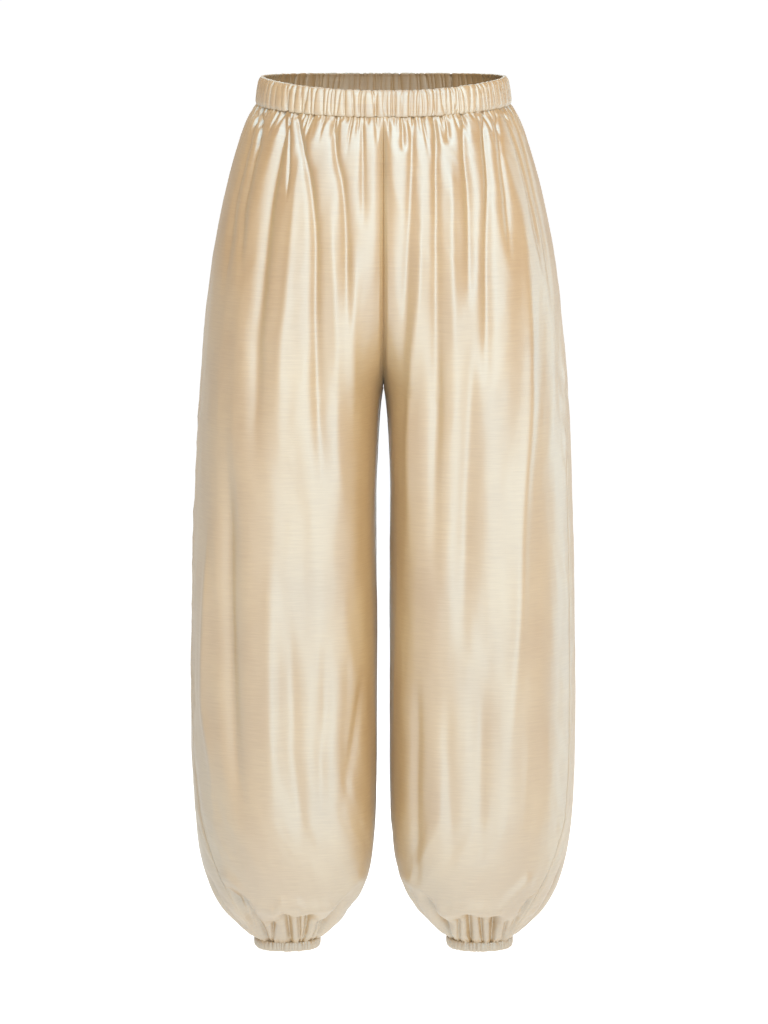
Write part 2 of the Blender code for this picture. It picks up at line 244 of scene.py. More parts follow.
@dataclass(frozen=True)
class Crease:
    """One soft trough or ridge of the cloth, laid along a given line.

    Attributes:
        line: place across and drop of its points, from its upper end down.
        rise: how far it stands out of the cloth, below zero for a trough.
        reach: half width at its upper and its lower end.
        across: how the places across are given.
        fades: share of its length over which a free upper end and a free lower end fade out.
        opens: power of the share down it with which its half width changes.
        falls: power with which its height falls off to both sides.
    """

    line: tuple[Pair, ...]
    rise: float
    reach: Pair
    across: Across = Across.MIDDLE
    fades: Pair = (0.3, 0.4)
    opens: float = 0.6
    falls: float = 1.25

    @property
    def hold(self) -> Hold:
        """Where it is sewn down, by the drops of its ends."""
        if self.line[0][1] < WAIST_SEAM + 5.0:
            return Hold.WAIST
        return Hold.CUFF if self.line[-1][1] == CUFF_SEAM else Hold.FREE

    def share_down(self, drop: Array) -> Array:
        """How far down the crease a drop is, from 0 at its upper end to 1 at its lower end."""
        upper, lower = self.line[0][1], self.line[-1][1]
        return (drop - upper) / (lower - upper)

    def strength(self, drop: Array) -> Array:
        """How much of its rise the crease has at a drop: all of it where it is sewn, none past a free end."""
        share = self.share_down(drop)
        from_above = eased(share / self.fades[0] + (1.0 if self.hold is Hold.WAIST else 0.0))
        from_below = eased((1 - share) / self.fades[1] + (1.0 if self.hold is Hold.CUFF else 0.0))
        if self.hold is Hold.WAIST:
            from_above = np.where(share < 0, 1.0, from_above)
        return from_above * from_below

    def height(self, drop: Array, arc: Array, x: Array) -> Array:
        """How far the crease lifts each point: its rise over (1 + q squared) to the power falls.

        q is the distance from the crease's line across the cloth, over its half width there. The half width
        changes fast near the seam that holds the crease, or near the upper end of a free one, and slowly
        further off. Where the crease is narrower than at its widest, its rise is less by the square root
        of that.

        Args:
            drop: the rows' drops.
            arc: each point's distance across the panel, from the centre seam or inseam.
            x: each point's distance from the middle plane.

        Returns:
            The lift of each point in millimetres.
        """
        line = tuple((d, a) for a, d in self.line)
        place = curve_through(line, 1, drop)
        if self.across is Across.SHARE:
            middle = arc[:, -1] - (1 - place) * steady_width(drop, arc[:, -1])
        else:
            rising = np.maximum.accumulate(x, axis=1)
            middle = np.array([np.interp(p, r, a) for p, r, a in zip(place, rising, arc)])
        share = np.clip(self.share_down(drop), 0.0, 1.0)
        grown = 1 - (1 - share) ** self.opens if self.hold is Hold.CUFF else share**self.opens
        reach = self.reach[0] + (self.reach[1] - self.reach[0]) * grown
        q = (arc - middle[:, None]) / reach[:, None]
        rise = self.rise * np.sqrt(reach / max(self.reach)) * self.strength(drop)
        return rise[:, None] * (1 + q * q) ** -self.falls


@dataclass(frozen=True)
class Roll:
    """A soft roll of the pouched cloth that hangs over a cuff, laid along a given line.

    Attributes:
        line: distance from the middle plane and drop of its points.
        rise: how far it stands out of the cloth, below zero for the hollow under it.
        reach: its half height.
        end: over what length it fades out past each end.
    """

    line: tuple[Pair, ...]
    rise: float
    reach: float
    end: float = 16.0

    def height(self, drop: Array, x: Array) -> Array:
        """How far the roll lifts each point, fading out past both ends of its line."""
        middle = curve_through(self.line, 1, x)
        past = np.maximum(self.line[0][0] - x, x - self.line[-1][0])
        return bell(drop[:, None] - middle, self.rise, self.reach) * (1 - eased(past / self.end))


@dataclass(frozen=True)
class Gathers:
    """Puckers along one gathered seam: short Vs of cloth caught in it, about every fourth one large.

    Attributes:
        count: how many there are.
        seed: what they add to the panel's seed.
        small: the usual length and depth of a small one.
        large: the usual length and depth of a large one.
        hold: the seam that they stand at.
        spread: by what share they are wider at their far end.
        falls: power with which their depth falls off away from the seam.
    """

    count: int
    seed: int
    small: Pair
    large: Pair
    hold: Hold = Hold.WAIST
    spread: float = 0.9
    falls: float = 1.5

    def height(self, seed: int, drop: Array, arc: Array) -> Array:
        """How far the puckers sink each point: the sum of bells across them, each with its own size and lean.

        Args:
            seed: the panel's seed.
            drop: the rows' drops.
            arc: each point's distance across the panel.

        Returns:
            The lift of each point in millimetres, below zero.
        """
        random = np.random.default_rng(seed + self.seed)
        away = drop - WAIST_SEAM if self.hold is Hold.WAIST else CUFF_SEAM - drop
        steady = steady_width(drop, arc[:, -1])
        lift = np.zeros_like(arc)
        for i in range(self.count):
            share = (i + random.uniform(0.1, 0.9)) / self.count
            length, depth = self.large if random.uniform() < 0.27 else self.small
            lean = random.uniform(-0.012, 0.012)
            length, depth = length * random.uniform(0.65, 1.4), depth * random.uniform(0.6, 1.3)
            far = np.clip(away / length, 0.0, 1.0)
            middle = arc[:, -1] - (1 - share - lean * far) * steady
            width = random.uniform(1.1, 1.7) * (1 + self.spread * far)
            sunk = depth * (1 - far) ** self.falls
            lift -= bell(arc - middle[:, None], sunk[:, None], width[:, None])
        return lift


@dataclass(frozen=True)
class Crumple:
    """One layer of soft random relief in the cloth.

    Attributes:
        seed: what it adds to the panel's seed.
        rise: how far it lifts or sinks the cloth.
        across: how wide its cells are.
        down: how high they are.
        lean: how far they lean across for each millimetre down.
        sink: how far they sink for each millimetre across.
    """

    seed: int
    rise: float
    across: float
    down: float
    lean: float = 0.0
    sink: float = 0.0

    def height(self, seed: int, from_side: Array, across: Array, down: Array) -> Array:
        """The layer's relief, in cells counted from the side seam that sink along a distance across."""
        column, row = (from_side + down * self.lean) / self.across, (down - across * self.sink) / self.down
        return self.rise * soft_noise(seed + self.seed, column, row)


@dataclass(frozen=True)
class Section:
    """Level sections of one tube: rounded ovals, one to each row.

    Attributes:
        widest: x where each one is deepest.
        outwards: its width from there to the outer side.
        inwards: its width from there to the inner side.
        front: its depth to the front.
        back: its depth to the back.
        squareness: 2 gives an ellipse, more gives a squarer oval.
        inner_squareness: the same for the inner half.
    """

    widest: Array
    outwards: Array
    inwards: Array
    front: Array
    back: Array
    squareness: float
    inner_squareness: Array

    def level(self, angle: Array, face: Face) -> Array:
        """Points of the sections at given angles.

        Args:
            angle: rows of angles, 0 at the tube's outer side and rising over this face to the inner one.
            face: the face that positive angles lie on.

        Returns:
            Rows of x, y points.
        """
        outer = rounded(angle, self.squareness)
        inner = rounded(angle, self.inner_squareness[:, None])
        cosine, sine = [np.where(np.cos(angle) < 0, i, o) for i, o in zip(inner, outer)]
        width = np.where(cosine < 0, self.inwards[:, None], self.outwards[:, None])
        own, other = (self.front, self.back) if face is Face.FRONT else (self.back, self.front)
        depth = np.where(sine < 0, other[:, None], own[:, None])
        towards = -1 if face is Face.FRONT else 1
        return np.stack([self.widest[:, None] + width * cosine, towards * depth * sine], axis=2)


@dataclass(frozen=True)
class TrouserForm:
    """The smooth form that the cloth hangs in, the same as the solids' one without its folds.

    Attributes:
        sections: drop, outer x, inner x, front and back depth of the left half's tube.
        widest: drop and x of the line down each face where the tube is deepest.
        left_seam: drop and turn in degrees of the left side seam, forward of the tube's side.
        right_seam: the same for the right side seam.
        front_dip: how much lower the waist seam lies at the front.
        back_dip: how much lower it lies at the back.
        dip_ends_at: drop at which the dip is gone.
        squareness: 2 gives an ellipse, more gives a squarer oval.
        inner_leg: how much squarer the inner half of each leg is.
        leg_starts: drop from which that begins, and over what length.
        leg_ends: drop from which it ends, and over what length.
        rows: first drop, last drop and number of a panel's rows, close together at both gathered ends. The
            panel goes on 3.5 mm inside each casing.
        fine_angles: the angles that each row is measured at.
    """

    sections: tuple = (
        (15, 140, -140, 102, 106), (30, 148, -138, 108, 114), (52, 156.2, -133, 114, 123),
        (95, 168.9, -120, 121, 134), (139, 179, -103, 125, 141), (182, 186.9, -83, 127, 145),
        (226, 192.6, -57, 128, 146), (250, 195.4, -38.5, 127.6, 144.6), (270, 197.3, -24.5, 127.1, 143),
        (285, 198.4, -15, 126.8, 141.6), (300, 199.4, -6.8, 126.4, 140), (309, 200, -2.8, 126.2, 139),
        (318, 200.6, 0, 125.9, 138), (326, 201.2, 1.5, 125.7, 137.1), (340, 202.2, 3.2, 125.2, 135.6),
        (358, 203.4, 4.6, 124.7, 133.9), (380, 204.6, 5.7, 124, 132), (447, 207.3, 7.8, 122, 129),
        (559, 210.8, 7.2, 120, 126), (694, 212.4, 7.2, 119, 124), (785, 209.8, 8.3, 117, 121),
        (830, 205.5, 11.1, 113, 116), (853, 201.2, 14.5, 108, 110), (876, 194.1, 21.2, 100, 101),
        (892, 186.5, 28.4, 90, 90), (904, 179.2, 35.8, 75, 78), (914, 172, 43, 58, 66),
        (927, 160.4, 54.8, 45, 49), (934, 152.8, 62, 40, 42), (939.5, 146.8, 68.2, 36, 36),
    )
    widest: tuple = (
        (15, 0), (95, 24.5), (139, 38), (182, 51.9), (226, 65.5), (270, 77.5), (320, 88.7), (380, 98),
        (447, 104), (559, 109), (694, 109.8), (785, 109), (853, 107.8), (939.5, 107.5),
    )
    left_seam: tuple = (
        (15, 0), (160, 0), (300, 12), (430, 22), (700, 25), (780, 26), (830, 36), (870, 47), (905, 52),
        (939.5, 44),
    )
    right_seam: tuple = (
        (15, 0), (300, 3), (500, 8), (700, 14), (781, 23), (840, 38), (878, 47), (905, 50), (939.5, 43),
    )
    front_dip: float = 8.0
    back_dip: float = 1.5
    dip_ends_at: float = 260.0
    squareness: float = 2.25
    inner_leg: float = 0.7
    leg_starts: tuple = (290.0, 120.0)
    leg_ends: tuple = (800.0, 100.0)
    rows: tuple = (
        (9.5, 27, 16), (28.5, 60, 17), (63, 250, 42), (256, 346, 16), (354, 780, 46), (784, 880, 25),
        (882, 943, 33),
    )
    fine_angles: int = 721

    def drops(self) -> Array:
        """The drops of a panel's rows."""
        return np.concatenate([np.linspace(*row) for row in self.rows])

    def panel(self, side: Side, face: Face, columns: int) -> tuple[Array, Array, Array]:
        """The smooth form of one panel as if it were on the left, on an even grid.

        Each row is a rounded oval from the middle plane, or from the inner leg, round to the side seam.
        Its points are evenly spaced over the steady width, and only those by the centre seam or inseam are
        pulled inwards by what the row is wider than that, with the fifth power of their place.

        Args:
            side: the wearer's side, which sets the side seam.
            face: front or back.
            columns: the points in a row.

        Returns:
            The points, each point's distance along its row, and the rows' drops.
        """
        drop = self.drops()
        outer, inner, front, back = [curve_through(self.sections, i, drop) for i in range(1, 5)]
        widest = curve_through(self.widest, 1, drop)
        leg = ramp(drop, *self.leg_starts) * (1 - ramp(drop, *self.leg_ends))
        squarer = self.squareness + self.inner_leg * leg
        section = Section(widest, outer - widest, widest - inner, front, back, self.squareness, squarer)
        meets = np.clip(widest / (widest - inner), 0.0, 1.0) ** (section.inner_squareness / 2)
        start = math.pi - np.arccos(meets)
        seam = self.left_seam if side is Side.LEFT else self.right_seam
        turn = np.radians(curve_through(seam, 1, drop)) * (1 if face is Face.FRONT else -1)
        share = np.linspace(0.0, 1.0, self.fine_angles)
        fine = start[:, None] + (turn - start)[:, None] * share
        rows = section.level(fine, face)
        along = lengths_along(rows)
        total = along[:, -1:]
        steady = steady_width(drop, total[:, 0])[:, None]
        from_side = np.linspace(1.0, 0.0, columns)
        arc = total - steady * from_side - (total - steady) * from_side**5
        angle = np.array([np.interp(p, a, f) for p, a, f in zip(arc, along, fine)])
        points = section.level(angle, face)
        dip = self.front_dip if face is Face.FRONT else self.back_dip
        fading = 1 - ramp(drop, WAIST_SEAM, self.dip_ends_at - WAIST_SEAM)
        round_share = np.clip(angle / start[:, None], 0.0, 1.0)
        down = drop[:, None] + dip * fading[:, None] * np.sin(round_share * math.pi / 2) ** 2
        points = np.concatenate([points, -down[:, :, None]], axis=2)
        return points, arc, drop


@dataclass(frozen=True)
class Relief:
    """All that lifts or sinks the cloth of one panel off its smooth form.

    Attributes:
        creases: the listed folds.
        rolls: the pouch's rolls over the cuff.
        seed: the seed of the puckers and crumples.
        gathers: puckers and longer folds below the waist seam, and puckers above the cuff seam.
        crumples: the layers of random relief.
        side_crumple: the stronger layer by the side seam.
        side_width: half width of that layer.
        side_starts: drop from which it begins, and over what length.
        calm: distance from a seam within which the folds fade out.
        seam_groove: depth and half width of the groove along every seam.
        centre_groove: the same for the narrow groove along the centre seam.
        centre_valley: the same for the broad hollow there, which is half as deep at the back.
        valley_fades: drop from which that hollow fades, and over what length.
        crotch: drop from which the centre seam's groove ends, and over what length.
        pinch: how far the cloth is drawn in under each casing, and within what distance of its end.
    """

    creases: tuple[Crease, ...]
    rolls: tuple[Roll, ...]
    seed: int
    gathers: tuple[Gathers, ...] = (
        Gathers(50, 0, (9.0, 1.8), (30.0, 2.4)),
        Gathers(13, 5, (36.0, 2.6), (60.0, 3.4)),
        Gathers(26, 9, (8.0, 1.2), (18.0, 2.0), Hold.CUFF),
    )
    crumples: tuple[Crumple, ...] = (
        Crumple(4, 0.9, 24.0, 150.0),
        Crumple(1, 0.5, 15.0, 80.0),
        Crumple(2, 0.14, 8.0, 30.0),
        Crumple(6, 0.13, 7.0, 14.0, 0.5, 0.4),
    )
    side_crumple: Crumple = Crumple(3, 1.2, 9.0, 15.0, 0.5, 0.3)
    side_width: float = 26.0
    side_starts: Pair = (120.0, 200.0)
    calm: float = 7.0
    seam_groove: Pair = (1.0, 1.6)
    centre_groove: Pair = (2.2, 2.4)
    centre_valley: Pair = (4.5, 7.0)
    valley_fades: Pair = (40.0, 280.0)
    crotch: Pair = (290.0, 30.0)
    pinch: Pair = (4.4, 7.0)

    def height(self, drop: Array, arc: Array, x: Array, face: Face) -> Array:
        """The lift of each point: the sum of folds and crumples, calm at the seams, less bells over these.

        Args:
            drop: the rows' drops.
            arc: each point's distance across the panel.
            x: each point's distance from the middle plane.
            face: front or back.

        Returns:
            The lift of each point in millimetres.
        """
        lift = np.zeros_like(arc)
        at_waist = 0.5 + 0.5 * ramp(drop, WAIST_SEAM, 10.0)
        at_cuff = 0.6 + 0.4 * eased((CUFF_SEAM - drop) / 6.0)
        for crease in self.creases:
            lift += crease.height(drop, arc, x) * (at_waist * at_cuff)[:, None]
        for gathers in self.gathers:
            lift += gathers.height(self.seed, drop, arc)
        for roll in self.rolls:
            lift += roll.height(drop, x)
        down = np.broadcast_to(drop[:, None], arc.shape)
        from_side = arc[:, -1:] - arc
        for crumple in self.crumples:
            lift += crumple.height(self.seed, from_side, from_side, down)
        near_side = bell(from_side, 1.0, self.side_width) * ramp(down, *self.side_starts)
        lift += near_side * self.side_crumple.height(self.seed, from_side, arc, down)
        to_seam = np.minimum(arc, from_side)
        lift *= eased(to_seam / self.calm)
        above_crotch = 1 - ramp(drop, *self.crotch)[:, None]
        lift -= np.where(arc < from_side, 1 - 0.3 * above_crotch, 1.0) * bell(to_seam, *self.seam_groove)
        lift -= above_crotch * ramp(drop, WAIST_SEAM, 20.0)[:, None] * bell(x, *self.centre_groove)
        fading = (1 - ramp(drop, *self.valley_fades)) * ramp(drop, WAIST_SEAM, 14.0)
        fading *= 1.0 if face is Face.FRONT else 0.5
        lift -= fading[:, None] * bell(x, *self.centre_valley)
        for from_end in (drop - drop[0], drop[-1] - drop):
            lift -= self.pinch[0] * (1 - eased(from_end / self.pinch[1]))[:, None]
        return lift


@dataclass(frozen=True)
class SilkSatin:
    """A woven silk satin with fine crosswise slubs.

    Attributes:
        name: the material's name.
        colour: the thread's colour.
        slub_colour: the colour of the thicker, paler threads.
        roughness: how far the gloss spreads.
        slub_length: how long a slub is, across the cloth.
        slub_width: how wide a slub is, down the cloth.
        slub_depth: how far a slub stands out.
        patch_scale: how many soft patches of colour lie along and across a metre of cloth.
        ior: that of the gloss, raised from silk's own 1.55 until the highlights were as strong as the real ones.
        gloss_tint: the gloss's colour, towards blue, so that it shows near white over the golden thread.
    """

    name: str
    colour: str = "#BC9159"
    slub_colour: str = "#C9A26B"
    roughness: float = 0.48
    slub_length: float = 26.0
    slub_width: float = 1.3
    slub_depth: float = 0.15
    patch_scale: tuple = (9.0, 14.0, 1.0)
    ior: float = 2.14
    gloss_tint: str = "#A7E6FF"

    def material(self) -> bpy.types.Material:
        """Filament silk woven as a satin, which gives long soft highlights that run down the cloth.

        Real slubs are too fine to show at this size, so they are drawn coarser, with the width above.

        Returns:
            The material, which reads the pieces' own UV map, warp along u and weft along v.
        """
        made = bpy.data.materials.new(self.name)
        made.use_nodes = True
        tree = made.node_tree
        tree.nodes.clear()
        place = add(tree, "ShaderNodeUVMap", {}, uv_map="cloth")
        slub_scale = (1 / (self.slub_width * METRES), 1 / (self.slub_length * METRES), 1.0)
        slub_place = add(tree, "ShaderNodeMapping", {"Vector": place.outputs["UV"], "Scale": slub_scale})
        slubs_like = {"Vector": slub_place.outputs["Vector"], "Scale": 1.0, "Detail": 3.0, "Roughness": 0.6}
        slubs = add(tree, "ShaderNodeTexNoise", slubs_like)
        patches_at = {"Vector": place.outputs["UV"], "Scale": self.patch_scale}
        patch_place = add(tree, "ShaderNodeMapping", patches_at)
        patches_like = {"Vector": patch_place.outputs["Vector"], "Scale": 1.0, "Detail": 2.0}
        patches = add(tree, "ShaderNodeTexNoise", patches_like)
        both = add(tree, "ShaderNodeMath", {0: slubs.outputs[0], 1: patches.outputs[0]}, operation="ADD")
        spread = {"Value": both.outputs[0], "From Min": 0.75, "From Max": 1.3}
        share = add(tree, "ShaderNodeMapRange", spread)
        colours = {"Factor": share.outputs[0], 6: linear(self.colour), 7: linear(self.slub_colour)}
        colour = add(tree, "ShaderNodeMix", colours, data_type="RGBA")
        standing = {"Height": slubs.outputs[0], "Strength": 0.7, "Distance": self.slub_depth * METRES}
        bump = add(tree, "ShaderNodeBump", standing)
        warp = add(tree, "ShaderNodeTangent", {}, direction_type="UV_MAP", uv_map="cloth")
        shader = add(
            tree,
            "ShaderNodeBsdfPrincipled",
            {
                "Base Color": colour.outputs[2],
                "Roughness": self.roughness,
                "IOR": self.ior,
                "Specular IOR Level": 1.0,
                "Specular Tint": linear(self.gloss_tint),
                "Anisotropic": 0.55,
                "Sheen Weight": 0.12,
                "Sheen Roughness": 0.45,
                "Sheen Tint": linear("#F0E8DC"),
                "Normal": bump.outputs[0],
                "Tangent": warp.outputs[0],
            },
        )
        add(tree, "ShaderNodeOutputMaterial", {"Surface": shader.outputs[0]})
        return made


@dataclass(frozen=True)
class ClothPanel:
    """One leg's front or back with half of the body above it, as thin gathered cloth.

    Attributes:
        form: the smooth form it hangs in.
        side: the wearer's side.
        face: front or back.
        relief: its folds and crumples.
        columns: points across.
        cloth: how thick the cloth is.
    """

    form: TrouserForm
    side: Side
    face: Face
    relief: Relief
    columns: int = 244
    cloth: float = 0.5

    def surface(self) -> tuple[Array, Array]:
        """The cloth's outer face: the smooth form, moved along its own normals by the relief.

        Returns:
            The points and the UV map.
        """
        base, arc, drop = self.form.panel(self.side, self.face, self.columns)
        down, across = np.gradient(base, axis=0), np.gradient(base, axis=1)
        normal = np.cross(down, across)
        if self.face is Face.BACK:
            normal = -normal
        normal /= np.maximum(np.linalg.norm(normal, axis=2, keepdims=True), 1e-9)
        lift = self.relief.height(drop, arc, base[:, :, 0], self.face)
        points = base + normal * lift[:, :, None]
        points[:, :, 0] = np.maximum(points[:, :, 0], 0.0)
        towards = -1 if self.face is Face.FRONT else 1
        inner_half = np.arange(self.columns) < self.columns // 2
        points[:, inner_half, 1] = np.maximum(points[:, inner_half, 1] * towards, 0.0) * towards
        joined = base[:, 0, 1] * towards > 1e-6
        points[joined, 0, 0] = 0.0
        points[~joined, 0, 1] = 0.0
        points[:, :, 0] *= self.side.value
        length = np.broadcast_to(drop[:, None], arc.shape)
        return points, np.stack([-length, arc - arc[:, -1:]], axis=2) * METRES

    def build(self, node: str, finish: bpy.types.Material) -> bpy.types.Object:
        """Makes the panel, dresses it and puts it in its solid's place.

        Args:
            node: the solid's name.
            finish: the silk.

        Returns:
            The panel.
        """
        points, uv = self.surface()
        inside_out = (self.face is Face.BACK) != (self.side is Side.RIGHT)
        made = grid_mesh(node + "_cloth", points, uv, False, False, inside_out)
        thick = made.modifiers.new("cloth", "SOLIDIFY")
        thick.thickness = self.cloth * METRES
        thick.offset = -1.0
        made.data.materials.append(finish)
        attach(made, BODY)
        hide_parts(node)
        LOG.info("%s: %d points", made.name, len(made.data.vertices))
        return made


@dataclass(frozen=True)
class ShirredCasing:
    """A casing of silk gathered tightly on an elastic, as a closed ring of uneven ribs.

    Attributes:
        ring: share of the height, half width, front and back depth.
        middle: x of the ring's middle.
        top: drop of its upper edge at the sides.
        height: how high it is.
        wall: how thick it is.
        ribs: how many grooves it has.
        groove: how deep a groove is.
        width: half width of a groove.
        slant: how far a groove may lean over the whole height.
        columns: points round it.
        rows: points round its section.
        dips: whether it follows the waist's dip.
        seed: the seed of its grooves.
        front_dip: how much lower it lies at the front.
        back_dip: how much lower it lies at the back.
        squareness: 2 gives an ellipse, more gives a squarer oval.
        edge_squareness: the same for the flat loop of its own section.
        fine_angles: the angles that the ring is measured at.
    """

    ring: tuple
    middle: float
    top: float
    height: float
    wall: float
    ribs: int
    groove: float
    width: float
    slant: float
    columns: int
    rows: int
    dips: bool
    seed: int
    front_dip: float = 10.0
    back_dip: float = 1.5
    squareness: float = 2.25
    edge_squareness: float = 7.0
    fine_angles: int = 2001

    def section(self) -> tuple[Array, Array, Array]:
        """The casing's section as a flat rounded loop: up the outer face, over the top, down the inner face.

        Returns:
            Share of the height from the top, share of the wall from the outer face, and how much of the
            ribs shows at each point.
        """
        angle = np.linspace(0, 2 * math.pi, self.rows, endpoint=False) + math.pi
        cosine, sine = rounded(angle, self.edge_squareness)
        down = 0.5 + 0.5 * sine
        inside = 0.5 + 0.5 * cosine
        edge = np.abs(2 * down - 1)
        # The ribs flatten by 0.55 at both edges, and the inner face follows them at 0.6 of their depth.
        inner = -0.6 * np.minimum(1.0, 2 * inside - 1)
        shows = (1 - 0.55 * edge**6) * np.where(inside < 0.5, 1.0, inner)
        return down, inside, shows

    def grooves(self, arc: Array, share: Array, round_length: float) -> Array:
        """How far the ribs stand out: round tops with a narrow and a broad trough at each groove.

        Args:
            arc: distance round the ring of each column.
            share: share of the height of each row.
            round_length: the ring's length.

        Returns:
            Rows and columns of the lift in millimetres.
        """
        random = np.random.default_rng(self.seed)
        widths = random.uniform(0.45, 1.75, self.ribs)
        places = np.cumsum(widths) / widths.sum() * round_length
        slants = random.uniform(-1, 1, self.ribs) * self.slant
        bends = random.uniform(-0.5, 0.5, self.ribs) * self.slant
        upper = random.uniform(0.35, 1.2, self.ribs)
        lower = random.uniform(0.55, 1.2, self.ribs)
        reach = random.uniform(0.7, 1.35, self.ribs) * self.width
        share = share[:, None, None]
        line = places + slants * (share - 0.5) + bends * np.sin(math.pi * share)
        apart = (arc[None, :, None] - line + round_length / 2) % round_length - round_length / 2
        depth = upper + (lower - upper) * share
        narrow = (1 + (apart / reach) ** 2) ** -1.5
        broad = (1 + (apart / (reach * 3)) ** 2) ** -1.5
        return -self.groove * (depth * (0.6 * narrow + 0.4 * broad)).sum(axis=2)

    def surface(self) -> tuple[Array, Array]:
        """The ring's points, evenly spaced round it, and its UV map.

        Returns:
            The points and the UV map.
        """
        down, inside, shows = self.section()
        fine = np.linspace(0, 2 * math.pi, self.fine_angles)
        half, front, back = [curve_through(self.ring, i, 0.5) for i in range(1, 4)]
        outline = self.level(fine, half, front, back)
        along = lengths_along(outline[None])[0]
        round_length = along[-1]
        arc = np.linspace(0, round_length, self.columns, endpoint=False)
        angle = np.interp(arc, along, fine)
        lift = self.grooves(arc, down, round_length)
        lift -= lift.mean()
        rise = lift * shows[:, None] - (inside * self.wall)[:, None]
        half, front, back = [curve_through(self.ring, i, down)[:, None] for i in range(1, 4)]
        level = self.level(angle[None, :], half + rise, front + rise, back + rise)
        dip = np.where(np.sin(angle) < 0, self.front_dip, self.back_dip) * np.sin(angle) ** 2
        dip = dip * (1 - 0.2 * down[:, None]) * (1.0 if self.dips else 0.0)
        scallop = lift * (np.abs(2 * down - 1) ** 8 * np.sign(0.5 - down))[:, None] * 0.5
        drop = self.top + self.height * down[:, None] - scallop + dip
        points = np.stack([level[..., 0] + self.middle, level[..., 1], -drop], axis=2)
        down_loop = lengths_along(np.stack([down * self.height, inside * self.wall], axis=1)[None])[0]
        down_loop = np.append(down_loop, down_loop[-1] + self.wall)
        round_loop = np.append(arc, round_length)
        uv = np.stack(np.meshgrid(-down_loop, round_loop, indexing="ij"), axis=2) * METRES
        return points, uv

    def level(self, angle: Array, half: Array, front: Array, back: Array) -> Array:
        """x and y of a rounded oval with its own depths to the front and to the back."""
        cosine, sine = rounded(angle, self.squareness)
        return np.stack([half * cosine, np.where(sine < 0, front, back) * sine], axis=-1)

    def build(self, node: str, finish: bpy.types.Material) -> bpy.types.Object:
        """Makes the casing, dresses it and puts it in its solid's place.

        Args:
            node: the solid's name.
            finish: the silk.

        Returns:
            The casing.
        """
        points, uv = self.surface()
        made = grid_mesh(node + "_cloth", points, uv, True, True, False)
        made.data.materials.append(finish)
        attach(made, BODY)
        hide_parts(node)
        LOG.info("%s: %d points", made.name, len(made.data.vertices))
        return made


BAND_RING = (
    (0.0, 132.8, 95.5, 98.5),
    (0.18, 135.2, 97.7, 100.7),
    (0.55, 137.2, 99.4, 102.6),
    (0.86, 138.2, 100.3, 103.6),
    (1.0, 137.6, 99.8, 103.2),
)
CUFF_RING = (
    (0.0, 36.6, 32.2, 32.2),
    (0.3, 37.2, 32.7, 32.7),
    (0.75, 36.8, 32.4, 32.4),
    (1.0, 35.4, 31.2, 31.2),
)
CUFF_MIDDLE = 107.4

RIGHT_FRONT = (
    Crease(((130, 13), (142, 78), (151, 126), (154, 216)), -4.2, (2.5, 9)),
    Crease(((135, 13), (148, 62), (162, 124), (172, 218)), -4.0, (2.5, 9)),
    Crease(((132, 13), (137, 70)), -3.0, (2.0, 4.5)),
    Crease(
        ((106, 13), (107, 30), (113, 62), (121, 104), (127, 159), (132, 213), (137, 267), (138, 426)),
        -8.2, (4.0, 13),
    ),
    Crease(((101, 13), (101, 60), (103, 110)), -2.6, (1.3, 1.7)),
    Crease(((90, 47), (94, 103), (99, 158), (104, 212), (110, 266), (115, 407)), 3.4, (3, 10)),
    Crease(
        ((93, 13), (88, 40), (80, 75), (75, 110), (72, 157), (72, 211), (71, 266), (69, 321), (66, 450)),
        -8.6, (2.4, 10),
    ),
    Crease(((57, 73), (54, 156), (51, 211), (50, 322), (51, 497)), 3.6, (4, 12)),
    Crease(((54, 13), (50, 56), (44, 82), (41, 111), (39, 156), (36, 282)), -7.0, (2.8, 8)),
    Crease(((23, 13), (22, 45), (21, 142)), -4.0, (2.0, 5.5)),
    Crease(((31, 130), (33, 200), (34, 270), (33, 370)), 4.4, (8, 10)),
    Crease(
        ((168, 341), (169, 431), (170, 539), (169, 594), (167, 649), (163, 704), (158, 759), (151, 840)),
        -9.0, (13, 14),
    ),
    Crease(((190, 440), (193, 541), (196, 657), (190, 714), (182, 830)), 4.6, (8, 9)),
    Crease(((125, 475), (123, 593), (122, 672), (121, 823)), 4.4, (12, 13)),
    Crease(((101, 540), (100, 652), (98, 712), (92, 762), (87, 850)), -5.2, (12, 13)),
    Crease(((63, 565), (62, 649), (67, 713), (68, 830)), -3.8, (10, 11)),
    Crease(((20, 610), (30, 690), (49, 790)), -3.4, (8, 8)),
    Crease(((39, 578), (38, 653), (42, 712), (34, 779)), -2.2, (10, 10)),
    Crease(((165, 858), (152, 888), (139, 917), (130, 939.5)), -11.0, (9, 2.6)),
    Crease(((122, 912), (124, 939.5)), -5.0, (2.8, 1.6)),
    Crease(((111, 889), (105, 917), (103, 939.5)), -10.0, (6, 2.0)),
    Crease(((93, 899), (92, 939.5)), -6.5, (3.4, 1.7)),
    Crease(((79, 890), (83, 918), (88, 939.5)), -10.0, (6, 2.0)),
    Crease(((64, 912), (74, 929), (79, 939.5)), -5.5, (3.4, 1.7)),
    Crease(((37, 871), (53, 901), (73, 939.5)), -9.0, (8, 2.4)),
    Crease(((177, 858), (158, 896), (139, 939.5)), -8.0, (8, 2.4)),
)
